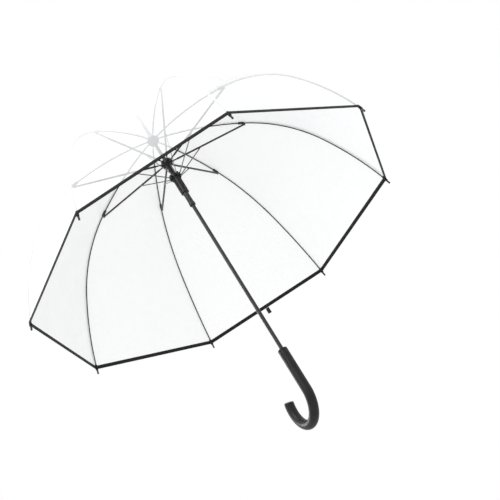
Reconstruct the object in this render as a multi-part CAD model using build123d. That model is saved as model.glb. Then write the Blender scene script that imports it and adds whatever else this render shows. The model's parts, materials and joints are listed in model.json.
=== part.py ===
from build123d import *
import os
from math import atan2, cos, degrees, hypot, radians, sin, tan

# Clear bubble umbrella, open, standing upright on the lowest point of its hook.
# Millimetres, +Z up along the shaft, origin on the shaft axis at the hook's lowest point.
# The hook opens towards +X.

# ---- driving dimensions -------------------------------------------------------------
OVERALL = 930.0          # lowest point of the hook to the ferrule's tip
SHAFT_R = 4.5            # steel tube, outside radius
SHAFT_WALL = 0.7
GRIP_R = 11.3            # grip section radius
HOOK_R = 54.5            # hook centre-line radius
HOOK_SWEEP = 208.0       # degrees of arc in the hook
GRIP_TOP = 171.5
RIB_COUNT = 8
FIRST_RIB = -10.0        # azimuth of rib 1, degrees from the hook's plane
PITCH = 360.0 / RIB_COUNT
RIB_ROD_R = 1.45         # flexible rib, round section
KNUCKLE_BORE_R = 0.5
CROWN_R = 12.0           # rib hinges: radius and height of the notch wire
CROWN_Z = 828.0
CROWN_WIRE_R = 0.55
CAP_TOP_Z = 843.0        # top of the crown cap and of the tube, where the ferrule starts
SLOPE_START = 2.0        # rib's slope below horizontal at the crown, degrees
RIB_ARCS = [(660.0, 21.8), (318.0, 58.8), (690.0, 75.2)]   # arc radius, slope at its end
CLIP_DROP = 4.0          # stretcher pivot, inside the rib's centre line
HUB_R = 14.0             # stretcher seats in the upper ring
HUB_Z = 748.0
STRUT_SEAT_R = 13.0      # strut seats in the runner's ring
RUNNER_Z = 701.0
RUNNER_TOP_Z = RUNNER_Z + 5.0
STRUT_SHARE = 0.38       # strut pivot along the stretcher, from the hub end
RING_R = 15.2            # both rings
RING_HALF = 4.5          # half their height
SPRING_R = 6.3           # kick spring, centre line
SPRING_WIRE_R = 0.8
SPRING_TURNS = 5
BODY_R = 10.2
BODY_END_Z = 647.0
SLEEVE_R = 6.8
COLLAR_R = 7.6
COLLAR_TOP_Z = 614.0
SLEEVE_END_Z = 606.0
FERRULE_R = 4.7
FERRULE_END_R = 2.4
TIP_LENGTH = 9.0
FILM_GAP = 2.8           # rib centre line to the film's inner face
FILM_T = 0.25
HEM_WIDTH = 9.5
HEM_T = 0.9
STRAP_WIDTH = 10.0
STRAP_DROP = 17.4
RIB_TIP_R = 2.3
RIB_TIP_IN = 6.0         # rib tip's overlap along the rib, above the hem's lower edge
RIB_TIP_OUT = 14.0       # and its length past the hem
BUTTON_AZIMUTH = 0.0     # flush push button, facing the hook's tip; the catch is on the same side
BUTTON_FOOT = 8.7        # its inner face, from the shaft's axis
BUTTON_Z = 146.0
BUTTON_LENGTH = 18.0
BUTTON_WIDTH = 8.8
BUTTON_PROUD = 0.2       # its face follows the grip's round
BUTTON_SPRING_HALF = 8.0
TUBE_END_Z = 80.0        # lower end of the tube, inside the grip
CATCH_Z = 285.0          # catch tooth, through the slot in the shaft
TRAVEL = 338.6           # runner's travel from open to closed

SLIDE_GAP = 0.3          # bore clearance of sliding plastic on the shaft
RIVET_R = 0.8            # stretcher joint
STRUT_RIVET_R = 0.6
STRETCHER_W = 3.8
STRETCHER_HALF_D = 1.5
TANG_W = 2.6
TANG_D = 2.4
TANG_LENGTH = 14.0
STRUT_T = 1.2
STRUT_W = 2.4
STRUT_OFFSET = STRETCHER_W / 2 + 0.35 + STRUT_T / 2


# ---- rib profile --------------------------------------------------------------------
def rib_breaks():
    """Radius, height and slope at the start and end of each arc of the rib."""
    r, z, slope = CROWN_R, CROWN_Z, SLOPE_START
    points = [(r, z, slope)]
    for radius, end_slope in RIB_ARCS:
        r += radius * (sin(radians(end_slope)) - sin(radians(slope)))
        z -= radius * (cos(radians(slope)) - cos(radians(end_slope)))
        slope = end_slope
        points.append((r, z, slope))
    return points


BREAKS = rib_breaks()


def rib_point(segment, share):
    """Radius, height and slope at a share of one arc's length."""
    radius, end_slope = RIB_ARCS[segment]
    r, z, start_slope = BREAKS[segment]
    slope = start_slope + share * (end_slope - start_slope)
    r += radius * (sin(radians(slope)) - sin(radians(start_slope)))
    z -= radius * (cos(radians(start_slope)) - cos(radians(slope)))
    return r, z, slope


def arc_length(segment):
    radius, end_slope = RIB_ARCS[segment]
    return radius * radians(end_slope - BREAKS[segment][2])


JOINT_R = BREAKS[1][0] - CLIP_DROP * sin(radians(BREAKS[1][2]))
JOINT_Z = BREAKS[1][1] - CLIP_DROP * cos(radians(BREAKS[1][2]))
STRETCHER_LENGTH = hypot(JOINT_R - HUB_R, JOINT_Z - HUB_Z)
STRETCHER_SLOPE = degrees(atan2(JOINT_Z - HUB_Z, JOINT_R - HUB_R))
STRUT_TOP_R = HUB_R + STRUT_SHARE * (JOINT_R - HUB_R)
STRUT_TOP_Z = HUB_Z + STRUT_SHARE * (JOINT_Z - HUB_Z)
STRUT_LENGTH = hypot(STRUT_TOP_R - STRUT_SEAT_R, STRUT_TOP_Z - RUNNER_Z)
STRUT_SLOPE = degrees(atan2(STRUT_TOP_Z - RUNNER_Z, STRUT_TOP_R - STRUT_SEAT_R))


# ---- helpers ------------------------------------------------------------------------
def write(name, shape):
    """Write one node: a solid or a list of separate solids."""
    solids = shape if isinstance(shape, list) else shape.solids()
    node = solids[0] if len(solids) == 1 else Compound(children=list(solids))
    export_step(node, f"parts/{name}.step")


def cylinder(radius, low, high, x=0.0, y=0.0):
    return Pos(x, y, (low + high) / 2) * Cylinder(radius, high - low)


def tube(outer, inner, low, high):
    return cylinder(outer, low, high) - cylinder(inner, low - 1, high + 1)


def block(x, y, z):
    """Box from three (low, high) pairs."""
    size = [high - low for low, high in (x, y, z)]
    centre = [(high + low) / 2 for low, high in (x, y, z)]
    return Pos(*centre) * Box(*size)


def cross_pin(radius, r, z, low, high):
    """Cylinder across a rib's plane, from y = low to y = high."""
    return Pos(r, (low + high) / 2, z) * Rot(90, 0, 0) * Cylinder(radius, high - low)


def along(r, z, slope, shape):
    """Lay a shape, drawn along +X from the origin, in the plane y = 0 at a slope below horizontal."""
    return Pos(r, 0, z) * Rot(0, slope, 0) * shape


def around(shape, index):
    """Turn a shape from the plane y = 0 to the plane of one rib."""
    return Rot(0, 0, FIRST_RIB + PITCH * index) * shape


def release_side(shape):
    """Turn a shape from the -X side of the shaft to the button's side."""
    return Rot(0, 0, BUTTON_AZIMUTH - 180.0) * shape


def rod_arc(segment, start_share, end_share):
    """Round rod along part of one arc of the rib, in the plane y = 0."""
    radius, end_slope = RIB_ARCS[segment]
    start = rib_point(segment, start_share)
    end = rib_point(segment, end_share)
    lean = radians(start[2])
    section_plane = Plane(
        origin=(start[0], 0, start[1]),
        x_dir=(sin(lean), 0, cos(lean)),
        z_dir=(cos(lean), 0, -sin(lean)),
    )
    centre = (start[0] - radius * sin(lean), 0, start[1] - radius * cos(lean))
    section = section_plane * Circle(RIB_ROD_R)
    return revolve(section, Axis(centre, (0, 1, 0)), end[2] - start[2])


# ---- shaft, ferrule and crown -------------------------------------------------------
def shaft_tube():
    body = tube(SHAFT_R, SHAFT_R - SHAFT_WALL, TUBE_END_Z, CAP_TOP_Z)
    slot = block((-6.0, -2.0), (-1.5, 1.5), (CATCH_Z - 6.0, CATCH_Z + 6.0))
    return body - release_side(slot)


def ferrule():
    spike = cylinder(FERRULE_R, CAP_TOP_Z, OVERALL - TIP_LENGTH)
    spigot = cylinder(SHAFT_R - SHAFT_WALL - 0.05, CAP_TOP_Z - 25.0, CAP_TOP_Z)
    groove = tube(FERRULE_R + 1, FERRULE_R - 0.4, CAP_TOP_Z + 13.0, CAP_TOP_Z + 14.2)
    return spike + spigot - groove


def ferrule_tip():
    return Pos(0, 0, OVERALL - TIP_LENGTH / 2) * Cone(FERRULE_R, FERRULE_END_R, TIP_LENGTH)


def crown_notch():
    """Slotted hub that holds the inner ends of the ribs on a ring of wire."""
    body = tube(14.2, SHAFT_R + 0.02, CROWN_Z - 7.0, CROWN_Z + 2.3)
    body += tube(7.0, SHAFT_R + 0.02, CROWN_Z - 15.0, CROWN_Z - 7.0)
    for index in range(RIB_COUNT):
        body -= around(block((8.2, 20.0), (-1.6, 1.6), (CROWN_Z - 9.0, CROWN_Z + 4.0)), index)
    return body - Pos(0, 0, CROWN_Z) * Torus(CROWN_R, CROWN_WIRE_R + 0.05)


def crown_wire():
    return Pos(0, 0, CROWN_Z) * Torus(CROWN_R, CROWN_WIRE_R)


def crown_cap():
    """Turned cap that presses the film down on the crown."""
    low = CROWN_Z + FILM_GAP + FILM_T + 0.5
    profile = Plane.XZ * make_face(
        Polyline(
            (SHAFT_R + 0.03, low), (12.5, low), (12.5, low + 1.6), (8.0, low + 4.0),
            (6.4, CAP_TOP_Z - 1.0), (5.9, CAP_TOP_Z), (SHAFT_R + 0.03, CAP_TOP_Z), close=True,
        )
    )
    return revolve(profile, Axis.Z)


# ---- sliding parts ------------------------------------------------------------------
def ring_slots(body, low, high):
    """Cut the stretcher slots and, on one side of each, the strut seats."""
    for index in range(RIB_COUNT):
        body -= around(block((8.1, 20.0), (-2.2, 2.2), (low, high)), index)
        body -= around(block((11.6, 20.0), (0.0, STRUT_OFFSET + 1.0), (low, high)), index)
    return body


def upper_ring():
    body = tube(RING_R, SHAFT_R + SLIDE_GAP, HUB_Z - RING_HALF, HUB_Z + RING_HALF)
    body += tube(7.2, SHAFT_R + SLIDE_GAP, HUB_Z + RING_HALF, HUB_Z + 11.0)
    return ring_slots(body, HUB_Z - 6.0, HUB_Z + 6.0)


def kick_spring():
    """Coil spring that pushes the two rings apart."""
    low = RUNNER_TOP_Z + SPRING_WIRE_R + 0.1
    high = HUB_Z - RING_HALF - SPRING_WIRE_R - 0.1
    path = Helix(pitch=(high - low) / SPRING_TURNS, height=high - low, radius=SPRING_R)
    section = Plane(origin=path @ 0, z_dir=path % 0) * Circle(SPRING_WIRE_R)
    return Pos(0, 0, low) * sweep(section, path=path, is_frenet=True)


def runner_body():
    """Lower ring with the fluted body below it; the stretchers' ends pass along the flutes."""
    body = tube(RING_R, SHAFT_R + SLIDE_GAP, RUNNER_Z - RING_HALF, RUNNER_TOP_Z)
    body += tube(BODY_R, SHAFT_R + SLIDE_GAP, BODY_END_Z, RUNNER_Z - RING_HALF)
    body = ring_slots(body, RUNNER_Z - 6.0, RUNNER_Z + 6.0)
    for index in range(RIB_COUNT):
        body -= around(block((7.4, 20.0), (-2.2, 2.2), (BODY_END_Z + 3.0, RUNNER_Z + 6.0)), index)
    return body


def runner_sleeve():
    body = tube(SLEEVE_R, SHAFT_R + SLIDE_GAP, COLLAR_TOP_Z, BODY_END_Z)
    window = block((-8.0, -3.0), (-1.7, 1.7), (CATCH_Z + TRAVEL - 4.5, CATCH_Z + TRAVEL + 4.5))
    return body - release_side(window)


def sleeve_collar():
    body = tube(COLLAR_R, SHAFT_R + SLIDE_GAP, SLEEVE_END_Z, COLLAR_TOP_Z)
    return chamfer(body.edges().filter_by(GeomType.CIRCLE).sort_by(SortBy.RADIUS)[-2:], 0.6)


# ---- rib, stretcher and strut -------------------------------------------------------
def knuckle(segment):
    """Round end, with a cross bore, on the rod at the start of an arc; it turns in a socket."""
    r, z, _ = BREAKS[segment]
    return Pos(r, 0, z) * Sphere(RIB_ROD_R) - cross_pin(KNUCKLE_BORE_R, r, z, -3.0, 3.0)


def socketed(rod, segment):
    """Hollow the end of a rod around the next arc's knuckle."""
    r, z, slope = BREAKS[segment + 1]
    rod -= Pos(r, 0, z) * Sphere(RIB_ROD_R + 0.1)
    beyond = along(r, z, slope, block((-0.12, 6.0), (-4.0, 4.0), (-4.0, 4.0)))
    return rod - beyond


def rib_inner():
    """Rib from the crown to the stretcher joint, with the joint's clip and rivet."""
    eye_share = 2.4 / arc_length(0)
    rod = rod_arc(0, eye_share, 1.0)
    trim = block((CROWN_R - 4, CROWN_R + 6.5), (1.2, 4.0), (CROWN_Z - 4, CROWN_Z + 4))
    rod -= trim
    rod -= mirror(trim, Plane.XZ)
    eye = cross_pin(2.0, CROWN_R, CROWN_Z, -1.2, 1.2)
    neck = along(CROWN_R, CROWN_Z, SLOPE_START, block((0, 5.0), (-1.2, 1.2), (-1.3, 1.3)))
    rod = socketed(rod + eye + neck - cross_pin(0.75, CROWN_R, CROWN_Z, -3.0, 3.0), 0)
    return [rod.solid(), *rib_clip()]


def rib_clip():
    """Pressed steel clip round the rod, with two cheeks and the rivet of the stretcher joint."""
    r, z, slope = BREAKS[1]
    low_share = 1.0 - 17.0 / arc_length(0)
    bore = rod_arc(0, low_share - 0.02, 1.0)
    sleeve = along(r, z, slope, block((-16.0, -0.4), (-2.6, 2.6), (-2.1, 2.0)))
    cheek = along(
        r, z, slope,
        block((-5.0, 2.0), (2.0, 2.6), (-CLIP_DROP - 1.7, -1.0)),
    )
    clip = sleeve + cheek + mirror(cheek, Plane.XZ)
    clip = clip - bore - cross_pin(RIVET_R, JOINT_R, JOINT_Z, -4.0, 4.0)
    rivet = cross_pin(RIVET_R, JOINT_R, JOINT_Z, -2.6, 2.6)
    rivet += cross_pin(RIVET_R + 0.5, JOINT_R, JOINT_Z, 2.6, 3.0)
    rivet += cross_pin(RIVET_R + 0.5, JOINT_R, JOINT_Z, -3.0, -2.6)
    return [clip.solid(), rivet.solid()]


def rib_middle():
    r, z, _ = BREAKS[1]
    rod = rod_arc(1, 0.0, 1.0) - cross_pin(KNUCKLE_BORE_R, r, z, -3.0, 3.0)
    return socketed(rod + knuckle(1), 1)


def rib_outer():
    """Last part of the rib, with the moulded tip that holds the hem."""
    r, z, slope = BREAKS[3]
    low_r, low_z, _ = BREAKS[2]
    rod = rod_arc(2, 0.0, 1.0 - RIB_TIP_IN / arc_length(2))
    rod = rod - cross_pin(KNUCKLE_BORE_R, low_r, low_z, -3.0, 3.0) + knuckle(2)
    barrel = Pos((RIB_TIP_OUT - RIB_TIP_IN) / 2, 0, 0) * Rot(0, 90, 0)
    barrel *= Cylinder(RIB_TIP_R, RIB_TIP_IN + RIB_TIP_OUT)
    barrel = fillet(barrel.edges().sort_by(Axis.X)[-1], 1.6)
    neck = Pos(1.0, 0, 0) * Rot(0, 90, 0) * (Cylinder(4.0, 1.6) - Cylinder(1.7, 1.6))
    tip = along(r, z, slope, barrel - neck)
    return [rod.solid(), tip.solid()]


def stretcher():
    """Steel channel from the rib's clip to the upper ring, drawn from the hub outwards."""
    length = STRETCHER_LENGTH
    width = (-STRETCHER_W / 2, STRETCHER_W / 2)
    depth = (-STRETCHER_HALF_D, STRETCHER_HALF_D)
    channel = block((TANG_LENGTH, length - 4.0), width, depth)
    channel -= block((TANG_LENGTH + 4, length - 9.0), (-1.25, 1.25), (-0.9, 4.0))
    tang = block((0.0, TANG_LENGTH), (-TANG_W / 2, TANG_W / 2), (-TANG_D / 2, TANG_D / 2))
    tang += cross_pin(TANG_D / 2, 0.0, 0.0, -TANG_W / 2, TANG_W / 2)
    head = block((length - 4.0, length), width, depth)
    head += cross_pin(STRETCHER_HALF_D, length, 0.0, *width)
    body = channel + tang + head - cross_pin(RIVET_R + 0.05, length, 0.0, -4.0, 4.0)
    body -= cross_pin(STRUT_RIVET_R + 0.05, STRUT_SHARE * length, 0.0, -4.0, 4.0)
    return along(HUB_R, HUB_Z, -STRETCHER_SLOPE, body)


def strut():
    """Flat link from the runner's ring to the stretcher, beside it, with its rivet."""
    length = STRUT_LENGTH
    low, high = STRUT_OFFSET - STRUT_T / 2, STRUT_OFFSET + STRUT_T / 2
    link = block((0.0, length), (low, high), (-STRUT_W / 2, STRUT_W / 2))
    link += cross_pin(STRUT_W / 2, 0.0, 0.0, low, high)
    link += cross_pin(STRUT_W / 2, length, 0.0, low, high)
    link -= cross_pin(STRUT_RIVET_R, length, 0.0, low - 1, high + 1)
    rivet = cross_pin(STRUT_RIVET_R, length, 0.0, -STRETCHER_W / 2 - 0.3, high + 0.4)
    rivet += cross_pin(STRUT_RIVET_R + 0.5, length, 0.0, high, high + 0.4)
    rivet += cross_pin(STRUT_RIVET_R + 0.5, length, 0.0, -STRETCHER_W / 2 - 0.55, -STRETCHER_W / 2 - 0.2)
    laid = [along(STRUT_SEAT_R, RUNNER_Z, -STRUT_SLOPE, piece) for piece in (link, rivet)]
    return [piece.solid() for piece in laid]


# ---- grip and release ---------------------------------------------------------------
def grip():
    """Crook handle: a straight grip and a round hook in one moulding."""
    centre_z = HOOK_R + GRIP_R
    body = cylinder(GRIP_R, centre_z, GRIP_TOP)
    body = fillet(body.edges().sort_by(Axis.Z)[-1], 2.0)
    section = Pos(0, 0, centre_z) * Circle(GRIP_R)
    axis = Axis((HOOK_R, 0, centre_z), (0, -1, 0))
    body += revolve(section, axis, HOOK_SWEEP)
    lean = radians(HOOK_SWEEP)
    end = (HOOK_R - HOOK_R * cos(lean), 0, centre_z - HOOK_R * sin(lean))
    end_face = body.faces().sort_by_distance(end)[0]
    body = fillet(end_face.edges(), 3.5)
    body -= cylinder(SHAFT_R + 0.02, TUBE_END_Z, GRIP_TOP + 1)
    half_l, half_w = BUTTON_LENGTH / 2 + 0.4, BUTTON_WIDTH / 2 + 0.4
    pocket = block((-20.0, 0.0), (-half_w, half_w), (BUTTON_Z - half_l, BUTTON_Z + half_l))
    return body - release_side(pocket)


def release_button():
    """Oblong button with round ends, whose face follows the grip's round."""
    half_l, half_w = BUTTON_LENGTH / 2, BUTTON_WIDTH / 2
    body = block((-20.0, -BUTTON_FOOT), (-half_w, half_w), (BUTTON_Z - half_l, BUTTON_Z + half_l))
    body = fillet(body.edges().filter_by(Axis.X), 4.0)
    body &= cylinder(GRIP_R + BUTTON_PROUD, BUTTON_Z - BUTTON_LENGTH, BUTTON_Z + BUTTON_LENGTH)
    face = body.faces().sort_by(Axis.X)[0]
    return release_side(chamfer(face.edges(), 0.4))


def button_spring():
    """Bowed leaf between the button and the shaft."""
    half = BUTTON_SPRING_HALF
    outer = ThreePointArc((-5.4, -half), (-8.3, 0.0), (-5.4, half))
    inner = ThreePointArc((-4.95, half), (-7.9, 0.0), (-4.95, -half))
    outline = outer + Line(outer @ 1, inner @ 0) + inner + Line(inner @ 1, outer @ 0)
    leaf = extrude(Plane.XZ * make_face(outline), 2.5, both=True)
    return release_side(Pos(0, 0, BUTTON_Z) * leaf)


def catch_blade():
    """Spring blade inside the tube, with the tooth that holds the closed runner."""
    blade = block((-3.2, -2.3), (-1.1, 1.1), (CATCH_Z - 22.0, CATCH_Z + 14.0))
    tooth = block((-6.3, -2.3), (-1.1, 1.1), (CATCH_Z - 3.0, CATCH_Z + 3.0))
    wedge = Pos(-6.3, 0, CATCH_Z + 3.0) * Rot(0, 35, 0) * Box(4.0, 4.0, 3.0)
    return release_side(blade + tooth - wedge)


def pull_wire():
    """Wire inside the tube, from the button up to the catch."""
    return release_side(cylinder(0.6, BUTTON_Z - 10.0, CATCH_Z + 8.0, x=2.2))


def shaft_plug():
    """Plug that closes the tube's lower end inside the grip."""
    return cylinder(SHAFT_R - SHAFT_WALL - 0.03, TUBE_END_Z, TUBE_END_Z + 16.0)


# ---- canopy -------------------------------------------------------------------------
def gore_point(segment, share, lift):
    """Point of a gore's middle line, raised from the ribs' surface by lift."""
    r, z, slope = rib_point(segment, share)
    flat = cos(radians(PITCH / 2))
    run, fall = flat * cos(radians(slope)), sin(radians(slope))
    size = hypot(run, fall)
    return flat * r + lift * fall / size, z + lift * run / size


def gore_edge(lift, spans):
    """Arcs along a gore's middle line: spans is a list of (segment, first share, last share)."""
    arcs = []
    for segment, first, last in spans:
        points = [gore_point(segment, share, lift) for share in (first, (first + last) / 2, last)]
        arcs.append(ThreePointArc(*points))
    return arcs


def gore_band(low, high, spans):
    """One gore's strip of sheet between two heights above the ribs' surface."""
    lower, upper = gore_edge(low, spans), gore_edge(high, spans)
    ends = [Line(lower[0] @ 0, upper[0] @ 0), Line(lower[-1] @ 1, upper[-1] @ 1)]
    face = Plane.XZ * make_face(lower + upper + ends)
    strip = extrude(face, BREAKS[3][0], both=True)
    reach = 1.2 * BREAKS[3][0]
    half = reach * tan(radians(PITCH / 2))
    wedge = extrude(make_face(Polyline((0, 0), (reach, -half), (reach, half), close=True)), OVERALL)
    return strip & wedge


HEM_SHARE = HEM_WIDTH / arc_length(2)


def gores(band):
    """Eight copies of a gore's piece, between neighbouring ribs."""
    return [around(Rot(0, 0, PITCH / 2) * band, index).solid() for index in range(RIB_COUNT)]


def canopy_film():
    start = -6.0 / arc_length(0)
    spans = [(0, start, 1.0), (1, 0.0, 1.0), (2, 0.0, 1.0 - HEM_SHARE)]
    band = gore_band(FILM_GAP, FILM_GAP + FILM_T, spans)
    band -= cylinder(6.4, 800.0, 860.0)
    return gores(band)


def hem_tape():
    low = FILM_GAP - 0.1
    return gores(gore_band(low, low + HEM_T, [(2, 1.0 - HEM_SHARE, 1.0)]))


def tie_strap():
    """Folded strap, sewn to the middle of one edge of the hem."""
    r, z = gore_point(2, 1.0, FILM_GAP + HEM_T / 2)
    half = STRAP_WIDTH / 2
    folded = block((r - 0.9, r + 1.5), (-half, half), (z - 0.6 - STRAP_DROP, z - 0.6))
    return around(Rot(0, 0, -PITCH / 2) * folded, 0)


# ---- files --------------------------------------------------------------------------
SINGLE_PIECES = {
    "shaft_tube": shaft_tube,
    "ferrule": ferrule,
    "ferrule_tip": ferrule_tip,
    "crown_notch": crown_notch,
    "crown_wire": crown_wire,
    "crown_cap": crown_cap,
    "upper_ring": upper_ring,
    "kick_spring": kick_spring,
    "runner_body": runner_body,
    "runner_sleeve": runner_sleeve,
    "sleeve_collar": sleeve_collar,
    "grip": grip,
    "release_button": release_button,
    "button_spring": button_spring,
    "catch_blade": catch_blade,
    "pull_wire": pull_wire,
    "shaft_plug": shaft_plug,
    "canopy_film": canopy_film,
    "hem_tape": hem_tape,
    "tie_strap": tie_strap,
}
RIB_PIECES = {
    "rib_inner": rib_inner,
    "rib_middle": rib_middle,
    "rib_outer": rib_outer,
    "stretcher": stretcher,
    "strut": strut,
}

for name, make in SINGLE_PIECES.items():
    write(name, make())

for name, make in RIB_PIECES.items():
    made = make()
    pieces = made if isinstance(made, list) else [made.solid()]
    for index in range(RIB_COUNT):
        write(f"{name}_{index + 1}", [around(piece, index) for piece in pieces])
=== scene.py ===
import json
from math import atan2, cos, hypot, pi, radians, sin, tan

import bmesh
import bpy
import numpy as np
from mathutils import Matrix, Vector


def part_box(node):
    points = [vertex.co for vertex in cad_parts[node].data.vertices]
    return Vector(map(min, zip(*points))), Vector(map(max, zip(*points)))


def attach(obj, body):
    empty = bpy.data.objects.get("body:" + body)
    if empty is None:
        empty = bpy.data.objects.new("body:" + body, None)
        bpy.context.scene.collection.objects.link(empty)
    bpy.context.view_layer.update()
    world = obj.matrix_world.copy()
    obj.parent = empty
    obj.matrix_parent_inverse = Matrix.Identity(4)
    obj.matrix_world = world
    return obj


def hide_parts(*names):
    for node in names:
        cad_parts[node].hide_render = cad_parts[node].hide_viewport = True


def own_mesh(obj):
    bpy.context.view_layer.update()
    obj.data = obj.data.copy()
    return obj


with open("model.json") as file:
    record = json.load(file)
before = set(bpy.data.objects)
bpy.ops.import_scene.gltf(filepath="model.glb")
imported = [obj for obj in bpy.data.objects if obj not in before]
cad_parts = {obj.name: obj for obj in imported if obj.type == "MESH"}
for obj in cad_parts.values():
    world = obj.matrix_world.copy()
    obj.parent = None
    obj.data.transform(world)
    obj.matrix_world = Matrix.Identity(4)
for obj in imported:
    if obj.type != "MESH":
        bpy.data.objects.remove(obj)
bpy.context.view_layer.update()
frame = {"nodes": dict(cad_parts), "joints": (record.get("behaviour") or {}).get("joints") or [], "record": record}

# Clear bubble umbrella, open. Metres, +Z up the shaft, origin under the hook, which curls towards +X.

JOINTS = {joint["name"]: joint for joint in frame["joints"]}
NODES = frame["nodes"]
UP = np.array([0.0, 0.0, 1.0])

# ---- ribs, as in the CAD model --------------------------------------------------------
RIB_COUNT = 8
FIRST_RIB = radians(-10.0)
PITCH = radians(360.0 / RIB_COUNT)
HALF_PITCH = PITCH / 2
RIB_ARCS = [(0.660, radians(21.8)), (0.318, radians(58.8)), (0.690, radians(75.2))]   # radius, end slope
SLOPES = [radians(2.0)] + [end for _, end in RIB_ARCS]
RIB_BODIES = ["rib_root", "rib_bend", "rib_end"]

# ---- film -----------------------------------------------------------------------------
FILM_LIFT = 0.0029              # rib centre line to the film
FILM_TOP = 0.005                # the film starts this far inside the ribs' hinges
FILM_SAG = 0.0030
RIPPLE_HEIGHT = 0.0007
RIPPLE_WAVES = (2.6, 5.0)       # across half a gore, along it
RIPPLE_SHIFT = 1.7              # from one gore to the next
RIPPLE_STOP = 0.08              # share of the gore's length over which the ripples die out above the hem
BAND_NAMES = ["inner", "middle", "outer"]
BAND_ROWS = [22, 24, 20]
FILM_COLUMNS = 14
SIDE_LETTERS = {1: "a", -1: "b"}

# ---- hem, tip pockets and strap -------------------------------------------------------
HEM_WIDTH = 0.0095
HEM_HALF_T = 0.00062
HEM_GIRTH = 2 * HEM_WIDTH
HEM_COLUMNS = 30
HEM_PROFILE = 12
HEM_SQUARENESS = 4
PUCKER_SHARE = 0.10
PUCKERS = 13.0                  # in half a gore
HEM_STITCHES = (0.70 * HEM_WIDTH, 1.30 * HEM_WIDTH)   # rows of stitches, measured round the hem
STITCH_COLOUR = (0.040, 0.040, 0.042)
STITCH_STEP = 0.0032
STITCH_SHARE = 0.68             # of a step
STITCH_THICKNESS = 0.0005
TIP_POCKET_LIFT = 0.0006
TIP_POCKET_GIRTH = 0.02
TIP_POCKET_SIDES = 20
TIP_POCKET = [                  # place along the rib from its end, half width, half depth
    (-0.0120, 0.0016, 0.0019), (-0.0105, 0.0026, 0.0026), (-0.0040, 0.0033, 0.0031),
    (0.0010, 0.0034, 0.0031), (0.0032, 0.0031, 0.0029), (0.0036, 0.0026, 0.0025),
]
STRAP_HALF_WIDTH = 0.0050
STRAP_HALF_T = 0.00075
STRAP_SEAM_HALF_T = 0.0005
STRAP_SEAM = 0.12               # share of the strap that is sewn flat
STRAP_WAVE = 0.0006
STRAP_GIRTH = 0.021
STRAP_RINGS = 14
STRAP_SIDES = 20
STRAP_SQUARENESS = 6

# ---- grip -----------------------------------------------------------------------------
GRIP_R = 0.0113
GRIP_TOP = 0.1715
GRIP_ROLL = 0.0020              # rounding of the top edge
GRIP_STRAIGHT = 0.008           # the plain straight part starts this far below the top
GROOVE = [(0.0040, 0.0), (0.0043, 0.0005), (0.0050, 0.0005), (0.0053, 0.0)]   # drop from the top, depth
PARTING_HEIGHT = 0.00012
PARTING_SPREAD = 0.05           # as the sine of its half angle
HOOK_R = 0.0545
HOOK_Z = HOOK_R + GRIP_R
HOOK_SWEEP = radians(208.0)
HOOK_END_ROUND = 0.0035
GRIP_SIDES = 96
GRIP_ROLL_RINGS = 7
GRIP_STRAIGHT_RINGS = 16
HOOK_RINGS = 65
HOOK_END_RINGS = 9
GRIP_SHARP = radians(35.0)      # edges of the grip's pocket sharper than this stay sharp
SLIVER = 1e-5                   # points nearer than this are joined

# ---- button and its leaf spring; reaches are distances from the shaft's axis ----------
BUTTON_AZIMUTH = 0.0
BUTTON_HALF_WIDTH = 0.0044
BUTTON_FOOT = 0.0087
BUTTON_FACE = GRIP_R + 0.0002
BUTTON_EDGE = 0.0005
BUTTON_DISH = 0.00035
BUTTON_GIRTH = 0.07
BUTTON_SIDES = 64
BUTTON_EDGE_RINGS = 7
BUTTON_SHARP = radians(50.0)
DISH_SHARES = (0.9, 0.75, 0.5, 0.25, 0.05)   # rings of the dish, from the edge to the middle
POCKET_FLOOR = 0.0048
POCKET_GAP = 0.0003
POCKET_MOUTH = GRIP_R + 0.002
LEAF_FOOT = 0.00515             # to the middle of the leaf's thickness
LEAF_CROWN = 0.00805
LEAF_HALF_LENGTH = 0.0080
LEAF_HALF_WIDTH = 0.0025
LEAF_HALF_T = 0.0002
LEAF_RINGS = 33
LEAF_SIDES = 24

# ---- kick spring ----------------------------------------------------------------------
SPRING_WIRE_R = 0.0010
SPRING_R = 0.0062
SPRING_TURNS = 9.0
SPRING_STEPS = 28               # in a turn
SPRING_SIDES = 10
SPRING_END_TURNS = 0.9          # turns that lie closed at each end
SPRING_END_RISE = 1.1 * SPRING_WIRE_R   # rise of a closed turn

# ---- stage, light and camera ----------------------------------------------------------
FLOOR_HALF = 60.0
FLOOR_Z = -3.0
FLOOR_DARK = (0.885, 0.885, 0.89)
FLOOR_LIGHT = (0.915, 0.915, 0.915)
LIGHT_TARGET = (0.0, 0.0, 0.5)
LIGHTS = [                      # name, place, size, power
    ("key", (-1.6, 2.6, 2.4), 1.2, 60.0),
    ("rim", (2.4, 1.2, 1.6), 0.8, 30.0),
]
CAMERA_PLACE = (-1.8096, 1.0135, -0.6582)
CAMERA_RIGHT = (-0.2195, -0.8515, -0.4763)
CAMERA_AHEAD = (0.7615, -0.4547, 0.4619)
CAMERA_LENS = 72.91
CAMERA_SENSOR = 36.0
CAMERA_CLIP = (0.05, 100.0)


# ---- places on the ribs and between them ----------------------------------------------
def joint_place(name):
    """A joint's distance from the shaft's axis, and its height."""
    x, y, z = JOINTS[name]["pos_m"]
    return hypot(x, y), z


BREAKS = [joint_place(name) for name in ("rib_hinge_1", "rib_flex_upper_1", "rib_flex_lower_1")]


def azimuth(index):
    return FIRST_RIB + PITCH * index


def axes_at(turn):
    """Outward and sideways directions at an angle round the shaft."""
    return np.array([cos(turn), sin(turn), 0.0]), np.array([-sin(turn), cos(turn), 0.0])


def rib_point(segment, share):
    """Radius, height and slope at a share of one arc of the rib."""
    radius, _ = RIB_ARCS[segment]
    start = SLOPES[segment]
    slope = start + share * (SLOPES[segment + 1] - start)
    r, z = BREAKS[segment]
    return r + radius * (sin(slope) - sin(start)), z - radius * (cos(start) - cos(slope)), slope


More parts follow.
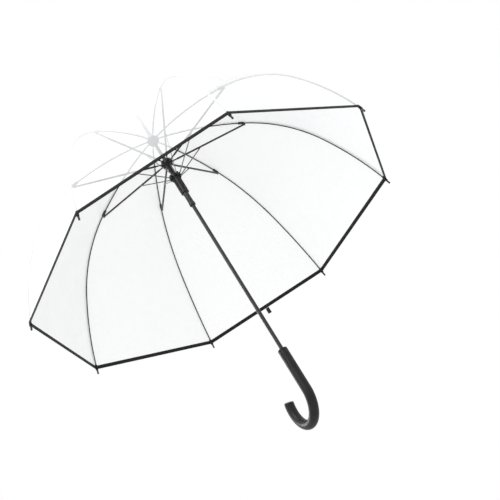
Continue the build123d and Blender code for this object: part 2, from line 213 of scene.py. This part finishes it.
def arc_length(segment):
    return RIB_ARCS[segment][0] * (SLOPES[segment + 1] - SLOPES[segment])


def gore_point(segment, share, lift):
    """Radius and height of a gore's middle line, raised from the ribs' surface by lift."""
    r, z, slope = rib_point(segment, share)
    run, fall = cos(HALF_PITCH) * cos(slope), sin(slope)
    size = hypot(run, fall)
    return cos(HALF_PITCH) * r + lift * fall / size, z + lift * run / size


def ruling(index, side, middle_r, height, across):
    """Point on a level line between two ribs: across is 0 at the rib and 1 at the gore's middle."""
    turn = azimuth(index) + side * HALF_PITCH
    back = -side * (1.0 - across) * middle_r * tan(HALF_PITCH)
    return np.array([
        middle_r * cos(turn) - back * sin(turn),
        middle_r * sin(turn) + back * cos(turn),
        height,
    ])


# ---- mesh helpers ---------------------------------------------------------------------
def make_object(name, points, faces, uvs=None, normals=None):
    """Smooth mesh object from points and faces, with a UV and a normal for each point if given."""
    mesh = bpy.data.meshes.new(name)
    mesh.from_pydata([tuple(p) for p in points], [], faces)
    mesh.update()
    if uvs is not None:
        layer = mesh.uv_layers.new(name="UVMap")
        for loop in mesh.loops:
            layer.data[loop.index].uv = uvs[loop.vertex_index]
    mesh.polygons.foreach_set("use_smooth", [True] * len(mesh.polygons))
    if normals is not None:
        mesh.normals_split_custom_set_from_vertices([tuple(n) for n in normals])
    piece = bpy.data.objects.new(name, mesh)
    bpy.context.scene.collection.objects.link(piece)
    return piece


def grid_faces(rows, columns, wrap=False):
    """Quads of a grid of points, stored row by row; wrap joins the last column to the first."""
    faces = []
    for i in range(rows - 1):
        for j in range(columns if wrap else columns - 1):
            k = (j + 1) % columns
            faces.append((i * columns + j, i * columns + k, (i + 1) * columns + k, (i + 1) * columns + j))
    return faces


def loft(name, rings, girth=1.0):
    """Closed skin over rings of the same number of points; girth is the size of the UV map round them."""
    rings = [np.asarray(ring, float) for ring in rings]
    count = len(rings[0])
    points = np.concatenate(rings)
    faces = grid_faces(len(rings), count, wrap=True)
    faces.append(tuple(range(count))[::-1])
    faces.append(tuple(range(len(points) - count, len(points))))
    lengths = [0.0]
    for before, after in zip(rings, rings[1:]):
        lengths.append(lengths[-1] + float(np.linalg.norm(after.mean(0) - before.mean(0))))
    around = np.linspace(0.0, 1.0, count)
    return make_object(name, points, faces, uvs=[(a * girth, v) for v in lengths for a in around])


def full_turn(count):
    return np.linspace(0.0, 2 * pi, count, endpoint=False)


def oval_ring(centre, side, up, radius_side, radius_up, count):
    angles = full_turn(count)
    return centre + np.outer(radius_side * np.cos(angles), side) + np.outer(radius_up * np.sin(angles), up)


def squareness(angle, power):
    """How far a rounded square reaches at an angle, next to a circle."""
    return (abs(cos(angle)) ** power + abs(sin(angle)) ** power) ** (-1 / power)


# ---- materials ------------------------------------------------------------------------
NOISE_REACH = (0.3, 0.7)        # values that a noise mostly lies between
WAVE_RATE = 20.0                # radians in a wave texture's unit of distance, at a scale of one


class Material:
    """A node material built around one Principled shader."""

    def __init__(self, name, colour, roughness, metallic=0.0, specular=0.5):
        self.material = bpy.data.materials.new(name)
        self.material.use_nodes = True
        self.nodes = self.material.node_tree.nodes
        self.links = self.material.node_tree.links
        self.shader = self.nodes["Principled BSDF"]
        self.set("Base Color", (*colour, 1.0))
        self.set("Roughness", roughness)
        self.set("Metallic", metallic)
        self.set("Specular IOR Level", specular)
        self.coordinates = self.nodes.new("ShaderNodeTexCoord")
        self.bump_height = None

    def set(self, socket, value):
        self.shader.inputs[socket].default_value = value

    def link(self, output, socket):
        self.links.new(output, self.shader.inputs[socket])

    def node(self, kind, **settings):
        made = self.nodes.new(kind)
        for key, value in settings.items():
            setattr(made, key, value)
        return made

    def math(self, operation, first, second=0.0):
        made = self.node("ShaderNodeMath", operation=operation)
        for socket, value in zip(made.inputs, (first, second)):
            if isinstance(value, (int, float)):
                socket.default_value = value
            else:
                self.links.new(value, socket)
        return made.outputs[0]

    def uv_place(self):
        """The UV map's two coordinates."""
        split = self.node("ShaderNodeSeparateXYZ")
        self.links.new(self.coordinates.outputs["UV"], split.inputs["Vector"])
        return split.outputs["X"], split.outputs["Y"]

    def stretched(self, scale):
        mapping = self.node("ShaderNodeMapping")
        mapping.inputs["Scale"].default_value = scale
        self.links.new(self.coordinates.outputs["Object"], mapping.inputs["Vector"])
        return mapping.outputs["Vector"]

    def noise(self, scale, detail=3.0, vector=None):
        made = self.node("ShaderNodeTexNoise")
        made.inputs["Scale"].default_value = scale
        made.inputs["Detail"].default_value = detail
        self.links.new(vector or self.coordinates.outputs["Object"], made.inputs["Vector"])
        return made.outputs["Fac"]

    def span(self, factor, onto, within=(0.0, 1.0)):
        """Map a factor that lies within one pair of values onto another pair."""
        made = self.node("ShaderNodeMapRange")
        self.links.new(factor, made.inputs["Value"])
        for socket, value in zip(("From Min", "From Max", "To Min", "To Max"), (*within, *onto)):
            made.inputs[socket].default_value = value
        return made.outputs["Result"]

    def mix(self, factor, first, second):
        """Mix two colours, each a constant or another node's output, by a factor."""
        made = self.node("ShaderNodeMix", data_type="RGBA")
        self.links.new(factor, made.inputs["Factor"])
        for socket, colour in (("A", first), ("B", second)):
            if isinstance(colour, tuple):
                made.inputs[socket].default_value = (*colour, 1.0)
            else:
                self.links.new(colour, made.inputs[socket])
        return made.outputs["Result"]

    def bump(self, height, distance, strength):
        made = self.node("ShaderNodeBump")
        made.inputs["Distance"].default_value = distance
        made.inputs["Strength"].default_value = strength
        self.links.new(height, made.inputs["Height"])
        if self.bump_height is not None:
            self.links.new(self.bump_height, made.inputs["Normal"])
        self.bump_height = made.outputs["Normal"]
        self.link(self.bump_height, "Normal")


def moulded_material(name, dark, light, rough, grain, bump, specular):
    """Moulded plastic or rubber: mottled tone, uneven gloss, and fine grain."""
    made = Material(name, dark, rough[0], specular=specular)
    cloud = made.span(made.noise(scale=35.0, detail=4.0), onto=(0.0, 1.0), within=(0.35, 0.65))
    made.link(made.mix(cloud, dark, light), "Base Color")
    made.link(made.span(made.noise(scale=120.0), onto=rough, within=NOISE_REACH), "Roughness")
    made.bump(made.noise(scale=grain, detail=2.0), distance=bump, strength=0.6)
    return made.material


def brushed_material(name, dark, light, rough, stretch, metallic, specular):
    """Drawn or painted rod and sheet: fine lines along one axis and uneven gloss."""
    made = Material(name, dark, rough[0], metallic=metallic, specular=specular)
    lines = made.noise(scale=1.0, detail=5.0, vector=made.stretched(stretch))
    made.link(made.mix(made.span(lines, onto=(0.0, 1.0), within=NOISE_REACH), dark, light), "Base Color")
    made.link(made.span(lines, onto=rough, within=NOISE_REACH), "Roughness")
    made.bump(lines, distance=0.00004, strength=0.5)
    return made.material


def film_material(name, colour, veil, weld_width, weld_veil, haze):
    """Clear flexible film: whiter at a glancing angle, with frosted welds, faint haze and soft ripples."""
    made = Material(name, colour, 0.12)
    made.set("IOR", 1.46)
    edge = made.node("ShaderNodeLayerWeight")
    edge.inputs["Blend"].default_value = 0.45
    across, _ = made.uv_place()
    weld = made.math("MULTIPLY", made.math("LESS_THAN", across, weld_width), weld_veil)
    clear = made.math("ADD", made.span(edge.outputs["Facing"], onto=veil), weld)
    cloud = made.span(made.noise(scale=9.0, detail=4.0), onto=haze, within=NOISE_REACH)
    made.link(made.math("ADD", clear, cloud), "Alpha")
    made.link(made.span(made.noise(scale=14.0), onto=(0.07, 0.2), within=NOISE_REACH), "Roughness")
    made.bump(made.noise(scale=5.0, detail=2.0), distance=0.004, strength=0.5)
    made.bump(made.noise(scale=60.0, detail=2.0), distance=0.0003, strength=0.4)
    return made.material


def stitch_mask(made, row):
    """One where a row of stitches lies, and nil elsewhere; row is its place across the UV map."""
    across, along = made.uv_place()
    apart = made.math("ABSOLUTE", made.math("SUBTRACT", across, row))
    beside = made.math("LESS_THAN", apart, STITCH_THICKNESS / 2)
    step = made.math("FRACT", made.math("DIVIDE", along, STITCH_STEP))
    return made.math("MULTIPLY", beside, made.math("LESS_THAN", step, STITCH_SHARE))


def woven_material(name, dark, light, thread, stitches=()):
    """Woven tape: two sets of threads crossing, and rows of stitches, on the UV map in metres."""
    made = Material(name, dark, 0.85, specular=0.15)
    made.set("Sheen Weight", 0.08)
    made.set("Sheen Roughness", 0.5)
    threads = []
    for direction in ("X", "Y"):
        wave = made.node("ShaderNodeTexWave", bands_direction=direction)
        wave.inputs["Scale"].default_value = 2 * pi / (WAVE_RATE * thread)
        wave.inputs["Distortion"].default_value = 0.6
        made.links.new(made.coordinates.outputs["UV"], wave.inputs["Vector"])
        threads.append(wave.outputs["Fac"])
    weave = made.math("MAXIMUM", *threads)
    colour = made.mix(weave, dark, light)
    for row in stitches:
        seam = stitch_mask(made, row)
        weave = made.math("ADD", weave, made.math("MULTIPLY", seam, 1.5))
        colour = made.mix(seam, colour, STITCH_COLOUR)
    made.link(colour, "Base Color")
    made.link(made.span(made.noise(scale=200.0), onto=(0.75, 0.95)), "Roughness")
    made.bump(weave, distance=0.00025, strength=0.8)
    return made.material


MATERIAL_RECIPES = {
    "clear_film": (film_material, dict(
        colour=(0.925, 0.933, 0.941), veil=(0.27, 0.80), weld_width=0.0035, weld_veil=0.22,
        haze=(-0.03, 0.05))),
    "hem_fabric": (woven_material, dict(
        dark=(0.005, 0.005, 0.0055), light=(0.016, 0.016, 0.017), thread=0.0006, stitches=HEM_STITCHES)),
    "strap_fabric": (woven_material, dict(
        dark=(0.010, 0.010, 0.011), light=(0.030, 0.030, 0.032), thread=0.0008)),
    "shaft_steel": (brushed_material, dict(
        dark=(0.012, 0.012, 0.013), light=(0.024, 0.024, 0.026), rough=(0.30, 0.44),
        stretch=(900.0, 900.0, 12.0), metallic=0.1, specular=0.4)),
    "black_plastic": (moulded_material, dict(
        dark=(0.014, 0.014, 0.015), light=(0.026, 0.026, 0.028), rough=(0.34, 0.48),
        grain=900.0, bump=0.00005, specular=0.35)),
    "grip_rubber": (moulded_material, dict(
        dark=(0.008, 0.008, 0.009), light=(0.014, 0.014, 0.015), rough=(0.40, 0.50),
        grain=300.0, bump=0.00001, specular=0.25)),
    "spring_steel": (brushed_material, dict(
        dark=(0.016, 0.016, 0.018), light=(0.040, 0.040, 0.043), rough=(0.30, 0.45),
        stretch=(500.0, 500.0, 500.0), metallic=0.3, specular=0.5)),
    "rib_fibreglass": (brushed_material, dict(
        dark=(0.012, 0.012, 0.013), light=(0.026, 0.026, 0.028), rough=(0.30, 0.45),
        stretch=(700.0, 700.0, 120.0), metallic=0.0, specular=0.4)),
    "frame_steel": (brushed_material, dict(
        dark=(0.014, 0.014, 0.015), light=(0.034, 0.034, 0.036), rough=(0.34, 0.5),
        stretch=(400.0, 400.0, 90.0), metallic=0.2, specular=0.4)),
    "link_steel": (brushed_material, dict(
        dark=(0.11, 0.11, 0.115), light=(0.20, 0.20, 0.205), rough=(0.30, 0.46),
        stretch=(600.0, 600.0, 200.0), metallic=0.6, specular=0.4)),
}
MATERIALS = {slot: maker(slot, **settings) for slot, (maker, settings) in MATERIAL_RECIPES.items()}


def finish_piece(piece, slot, body):
    """Give a piece its material and material slot, and the body it rides on."""
    piece.data.materials.clear()
    piece.data.materials.append(MATERIALS[slot])
    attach(piece, body)


def paint_cad_nodes():
    for subpart in frame["record"]["subparts"]:
        node = NODES[subpart["node"]]
        node.data.materials.clear()
        node.data.materials.append(MATERIALS[subpart["material_slot"]])


# ---- canopy film and hem --------------------------------------------------------------
def film_offset(index, along, across):
    """The film's sag between ribs and its faint tension ripples, outward positive, both nil at the hem."""
    sag = -FILM_SAG * sin(pi * along) * (1.0 - cos(pi * across)) / 2
    fade = sin(pi * across) ** 2 * along ** 3 * min(1.0, (1.0 - along) / RIPPLE_STOP)
    waves = RIPPLE_WAVES[0] * across + RIPPLE_WAVES[1] * along
    return sag + RIPPLE_HEIGHT * fade * sin(2 * pi * waves + RIPPLE_SHIFT * index)


def gore_stations():
    """Arc and share of it for each row of the film, from the crown to the hem."""
    stations = []
    for segment, rows in enumerate(BAND_ROWS):
        first = -FILM_TOP / arc_length(0) if segment == 0 else 0.0
        last = 1.0 - 0.5 * HEM_WIDTH / arc_length(2) if segment == 2 else 1.0
        shares = np.linspace(first, last, rows + 1)
        stations += [(segment, share) for share in (shares if segment == 0 else shares[1:])]
    return stations


def half_gore(index, side):
    """Points, normals and UVs of half a gore, from the crown to the hem, as rows of columns."""
    stations = gore_stations()
    across = np.linspace(0.0, 1.0, FILM_COLUMNS + 1)
    lengths = np.cumsum([arc_length(segment) / BAND_ROWS[segment] for segment, _ in stations])
    lengths = lengths - lengths[0]
    points = np.zeros((len(stations), len(across), 3))
    uvs = np.zeros((len(stations), len(across), 2))
    for i, (segment, share) in enumerate(stations):
        along = lengths[i] / lengths[-1]
        for j, u in enumerate(across):
            lift = FILM_LIFT + film_offset(index, along, u)
            middle_r, height = gore_point(segment, share, lift)
            points[i, j] = ruling(index, side, middle_r, height, u)
            uvs[i, j] = (middle_r * tan(HALF_PITCH) * u, lengths[i])
    down = np.gradient(points, axis=0)
    sideways = np.gradient(points, axis=1) * side
    normals = np.cross(down, sideways)
    _, mirror = axes_at(azimuth(index) + side * HALF_PITCH)
    normals[:, -1] -= np.outer(normals[:, -1] @ mirror, mirror)
    normals /= np.linalg.norm(normals, axis=2, keepdims=True)
    return points, normals, uvs


def fold(piece):
    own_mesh(piece)


def film_band(index, side, segment, grid):
    """One third of a half gore, on the part of the rib that it is fixed to, with its flat size and area."""
    first = sum(BAND_ROWS[:segment])
    rows = slice(first, first + BAND_ROWS[segment] + 1)
    points, normals, uvs = (part[rows].reshape(-1, part.shape[2]) for part in grid)
    faces = grid_faces(BAND_ROWS[segment] + 1, FILM_COLUMNS + 1)
    if side > 0:
        faces = [face[::-1] for face in faces]
    name = f"film_{index + 1}{SIDE_LETTERS[side]}_{BAND_NAMES[segment]}"
    piece = make_object(name, points, faces, uvs=uvs, normals=normals)
    finish_piece(piece, "clear_film", f"{RIB_BODIES[segment]}_{index + 1}")
    fold(piece)
    width = float(uvs[:, 0].max())
    length = float(uvs[:, 1].max() - uvs[:, 1].min())
    area = sum(polygon.area for polygon in piece.data.polygons)
    return piece, (width, length), min(area, width * length)


def hem_half(index, side):
    """Folded tape over the film's edge, from one rib to the middle of the gore."""
    middle_share = 1.0 - 0.5 * HEM_WIDTH / arc_length(2)
    rings = []
    for across in np.linspace(0.0, 1.0, HEM_COLUMNS + 1):
        ring = []
        pucker = 1.0 + PUCKER_SHARE * sin(2 * PUCKERS * pi * across) * sin(pi * across)
        for angle in full_turn(HEM_PROFILE):
            square = squareness(angle, HEM_SQUARENESS)
            down = square * cos(angle) * HEM_WIDTH / 2
            out = square * sin(angle) * HEM_HALF_T * pucker
            share = middle_share + down / arc_length(2)
            middle_r, height = gore_point(2, share, FILM_LIFT + out)
            ring.append(ruling(index, side, middle_r, height, across))
        rings.append(ring[::-1] if side > 0 else ring)
    piece = loft(f"hem_{index + 1}{SIDE_LETTERS[side]}", rings, girth=HEM_GIRTH)
    finish_piece(piece, "hem_fabric", f"rib_end_{index + 1}")
    fold(piece)
    return piece


def build_canopy():
    films, hems = [], []
    for index in range(RIB_COUNT):
        for side in (1, -1):
            grid = half_gore(index, side)
            hem = hem_half(index, side)
            hems.append(hem)
            for segment in range(3):
                piece, flat, area = film_band(index, side, segment, grid)
                films.append(piece)
    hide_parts("canopy_film")
    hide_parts("hem_tape")


def build_tip_pockets():
    """Stitched pocket at each corner, where the rib's tip holds the hem."""
    for index in range(RIB_COUNT):
        outward, sideways = axes_at(azimuth(index))
        r, z, slope = rib_point(2, 1.0)
        down = cos(slope) * outward - sin(slope) * UP
        proud = sin(slope) * outward + cos(slope) * UP
        end = r * outward + z * UP + TIP_POCKET_LIFT * proud
        rings = [
            oval_ring(end + place * down, sideways, -proud, half_width, half_depth, TIP_POCKET_SIDES)
            for place, half_width, half_depth in TIP_POCKET
        ]
        piece = loft(f"tip_pocket_{index + 1}", rings, girth=TIP_POCKET_GIRTH)
        finish_piece(piece, "hem_fabric", f"rib_end_{index + 1}")


def build_strap():
    """Short folded strap, thinner at its top, where it is sewn to the hem."""
    low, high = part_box("tie_strap")
    centre = (low + high) / 2
    outward, sideways = axes_at(atan2(centre.y, centre.x))
    middle = hypot(centre.x, centre.y)
    rings = []
    for share in np.linspace(0.0, 1.0, STRAP_RINGS):
        reach = middle + STRAP_WAVE * sin(3 * pi * share)
        half_t = STRAP_HALF_T if share > STRAP_SEAM else STRAP_SEAM_HALF_T
        ring_centre = reach * outward + (high.z + share * (low.z - high.z)) * UP
        ring = []
        for angle in full_turn(STRAP_SIDES):
            square = squareness(angle, STRAP_SQUARENESS)
            across = square * cos(angle) * STRAP_HALF_WIDTH
            through = square * sin(angle) * half_t
            ring.append(ring_centre + across * sideways + through * outward)
        rings.append(ring)
    strap = loft("tie_strap_cloth", rings, girth=STRAP_GIRTH)
    finish_piece(strap, "strap_fabric", "rib_end_1")
    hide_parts("tie_strap")
    fold(strap)


# ---- button and leaf; the button's outline also shapes its pocket in the grip ---------
BUTTON_LOW, BUTTON_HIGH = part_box("release_button")
BUTTON_MIDDLE = (BUTTON_LOW.z + BUTTON_HIGH.z) / 2 * UP
BUTTON_HALF_LENGTH = (BUTTON_HIGH.z - BUTTON_LOW.z) / 2
BUTTON_OUT, BUTTON_SIDE = axes_at(BUTTON_AZIMUTH)


def pill_ring(grow):
    """Outline of the button with round ends, on the shaft's axis, larger by grow all round."""
    radius = BUTTON_HALF_WIDTH + grow
    straight = BUTTON_HALF_LENGTH - BUTTON_HALF_WIDTH
    ring = []
    for angle in full_turn(BUTTON_SIDES):
        height = radius * sin(angle) + (straight if sin(angle) >= 0 else -straight)
        ring.append(BUTTON_MIDDLE + radius * cos(angle) * BUTTON_SIDE + height * UP)
    return np.array(ring)


def pushed_out(ring, reach):
    """The ring moved out by one distance, or by a distance for each point."""
    return ring + np.outer(np.broadcast_to(reach, len(ring)), BUTTON_OUT)


def face_reach(ring):
    """How far out the button's round face lies at each point of the ring."""
    return np.sqrt(BUTTON_FACE ** 2 - (ring @ BUTTON_SIDE) ** 2)


def build_button():
    """Flush push button: rounded edge, and a shallow dish in a face that follows the grip's round."""
    rings = [pushed_out(pill_ring(0.0), BUTTON_FOOT)]
    for angle in np.linspace(0.0, pi / 2, BUTTON_EDGE_RINGS):
        ring = pill_ring(-BUTTON_EDGE * (1 - cos(angle)))
        rings.append(pushed_out(ring, face_reach(ring) - BUTTON_EDGE * (1 - sin(angle))))
    for share in DISH_SHARES:
        ring = pill_ring(share * (BUTTON_HALF_WIDTH - BUTTON_EDGE) - BUTTON_HALF_WIDTH)
        rings.append(pushed_out(ring, face_reach(ring) - BUTTON_DISH * (1 - share ** 2)))
    button = loft("button_cap", rings, girth=BUTTON_GIRTH)
    button.data.set_sharp_from_angle(angle=BUTTON_SHARP)
    finish_piece(button, "black_plastic", "button")
    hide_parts("release_button")


def build_leaf():
    """Bowed leaf spring under the button, fixed in its resting bow."""
    rings = []
    for place in np.linspace(-1.0, 1.0, LEAF_RINGS):
        bow = LEAF_FOOT + (LEAF_CROWN - LEAF_FOOT) * (1.0 - place ** 2)
        centre = BUTTON_MIDDLE + bow * BUTTON_OUT + place * LEAF_HALF_LENGTH * UP
        rings.append(oval_ring(
            centre, BUTTON_SIDE, BUTTON_OUT, LEAF_HALF_WIDTH, LEAF_HALF_T, LEAF_SIDES))
    leaf = loft("button_leaf", rings)
    finish_piece(leaf, "spring_steel", "shaft")
    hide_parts("button_spring")
    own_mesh(leaf)


# ---- grip -----------------------------------------------------------------------------
def grip_section(centre, up, radius):
    """Round section with the faint parting line of the moulding."""
    side = np.array([0.0, 1.0, 0.0])
    ring = []
    for angle in full_turn(GRIP_SIDES):
        reach = radius + PARTING_HEIGHT * max(0.0, 1.0 - abs(sin(angle)) / PARTING_SPREAD)
        ring.append(centre + reach * cos(angle) * side + reach * sin(angle) * up)
    return ring


def straight_ring(z, radius):
    return grip_section(z * UP, np.array([1.0, 0.0, 0.0]), radius)


def hook_ring(angle, radius):
    """Section of the hook at an angle of sweep from its start."""
    centre = np.array([HOOK_R - HOOK_R * cos(angle), 0.0, HOOK_Z - HOOK_R * sin(angle)])
    return grip_section(centre, np.array([cos(angle), 0.0, sin(angle)]), radius)


def grip_rings():
    """Sections from the rolled top edge, past the groove and round the hook, to the rounded end."""
    rings = []
    for angle in np.linspace(pi / 2, 0.0, GRIP_ROLL_RINGS):
        radius = GRIP_R - GRIP_ROLL * (1 - cos(angle))
        rings.append(straight_ring(GRIP_TOP - GRIP_ROLL * (1 - sin(angle)), radius))
    for drop, depth in GROOVE:
        rings.append(straight_ring(GRIP_TOP - drop, GRIP_R - depth))
    for z in np.linspace(GRIP_TOP - GRIP_STRAIGHT, HOOK_Z, GRIP_STRAIGHT_RINGS):
        rings.append(straight_ring(z, GRIP_R))
    sweep = HOOK_SWEEP - HOOK_END_ROUND / HOOK_R
    for angle in np.linspace(0.0, sweep, HOOK_RINGS)[1:]:
        rings.append(hook_ring(angle, GRIP_R))
    for turn in np.linspace(0.0, pi / 2, HOOK_END_RINGS)[1:]:
        angle = sweep + HOOK_END_ROUND * sin(turn) / HOOK_R
        rings.append(hook_ring(angle, GRIP_R - HOOK_END_ROUND * (1 - cos(turn))))
    return rings


def cut_pocket(piece):
    """Cut the button's pocket into the grip."""
    outline = pill_ring(POCKET_GAP)
    cutter = loft("pocket_cutter", [pushed_out(outline, POCKET_FLOOR), pushed_out(outline, POCKET_MOUTH)])
    modifier = piece.modifiers.new("pocket", "BOOLEAN")
    modifier.operation = "DIFFERENCE"
    modifier.solver = "EXACT"
    modifier.object = cutter
    shape = piece.evaluated_get(bpy.context.evaluated_depsgraph_get())
    cut = bpy.data.meshes.new_from_object(shape)
    piece.modifiers.clear()
    piece.data = cut
    drop_slivers(cut)
    cut.set_sharp_from_angle(angle=GRIP_SHARP)
    bpy.data.objects.remove(cutter)


def drop_slivers(mesh):
    """Remove the faces without area that a cut can leave."""
    work = bmesh.new()
    work.from_mesh(mesh)
    bmesh.ops.remove_doubles(work, verts=work.verts, dist=SLIVER)
    bmesh.ops.dissolve_degenerate(work, edges=work.edges, dist=SLIVER)
    work.to_mesh(mesh)
    work.free()


def build_grip():
    piece = loft("grip_moulding", grip_rings(), girth=2 * pi * GRIP_R)
    cut_pocket(piece)
    finish_piece(piece, "grip_rubber", "shaft")
    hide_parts("grip")


# ---- kick spring ----------------------------------------------------------------------
def build_spring():
    """Kick spring between the two rings, with closed end turns."""
    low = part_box("runner_body")[1].z
    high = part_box("upper_ring")[0].z
    closed = 2 * SPRING_END_TURNS
    open_rise = high - low - 2 * SPRING_WIRE_R - SPRING_END_RISE * closed
    rings = []
    for turn in np.linspace(0.0, SPRING_TURNS, int(SPRING_TURNS * SPRING_STEPS) + 1):
        ended = min(turn, SPRING_END_TURNS) + max(turn - (SPRING_TURNS - SPRING_END_TURNS), 0.0)
        opened = min(max((turn - SPRING_END_TURNS) / (SPRING_TURNS - closed), 0.0), 1.0)
        z = low + SPRING_WIRE_R + SPRING_END_RISE * ended + open_rise * opened
        outward, _ = axes_at(2 * pi * turn)
        centre = SPRING_R * outward + z * UP
        rings.append(oval_ring(centre, outward, UP, SPRING_WIRE_R, SPRING_WIRE_R, SPRING_SIDES))
    piece = loft("kick_spring_coil", rings)
    finish_piece(piece, "spring_steel", "runner")
    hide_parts("kick_spring")
    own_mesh(piece)


# ---- stage, light and camera ----------------------------------------------------------
def build_stage():
    surface = Material("pale_floor", FLOOR_LIGHT, 0.9, specular=0.1)
    surface.link(surface.mix(surface.noise(scale=1.5, detail=2.0), FLOOR_DARK, FLOOR_LIGHT), "Base Color")
    corners = [(x * FLOOR_HALF, y * FLOOR_HALF, FLOOR_Z) for x, y in ((-1, -1), (1, -1), (1, 1), (-1, 1))]
    floor = make_object("studio_floor", corners, [(0, 1, 2, 3)])
    floor.data.materials.append(surface.material)


def area_light(name, place, size, power):
    data = bpy.data.lights.new(name, "AREA")
    data.shape = "DISK"
    data.size = size
    data.energy = power
    lamp = bpy.data.objects.new(name, data)
    lamp.location = place
    lamp.rotation_euler = (Vector(LIGHT_TARGET) - Vector(place)).to_track_quat("-Z", "Y").to_euler()
    bpy.context.scene.collection.objects.link(lamp)


def build_light():
    world = bpy.data.worlds.new("studio")
    world.use_nodes = True
    sky = world.node_tree.nodes["Background"]
    sky.inputs["Color"].default_value = (1.0, 1.0, 1.0, 1.0)
    sky.inputs["Strength"].default_value = 1.0
    bpy.context.scene.world = world
    bpy.context.scene.view_settings.view_transform = "Standard"
    for light in LIGHTS:
        area_light(*light)


def build_camera():
    data = bpy.data.cameras.new("camera")
    data.sensor_width = CAMERA_SENSOR
    data.lens = CAMERA_LENS
    data.clip_start, data.clip_end = CAMERA_CLIP
    camera = bpy.data.objects.new("camera", data)
    bpy.context.scene.collection.objects.link(camera)
    ahead = Vector(CAMERA_AHEAD).normalized()
    up = Vector(CAMERA_RIGHT).normalized().cross(ahead).normalized()
    right = ahead.cross(up).normalized()
    rotation = Matrix((right, up, -ahead)).transposed()
    camera.matrix_world = Matrix.Translation(CAMERA_PLACE) @ rotation.to_4x4()
    bpy.context.scene.camera = camera


# ---- build ----------------------------------------------------------------------------
paint_cad_nodes()
build_canopy()
build_tip_pockets()
build_strap()
build_grip()
build_button()
build_leaf()
build_spring()
build_stage()
build_light()
build_camera()
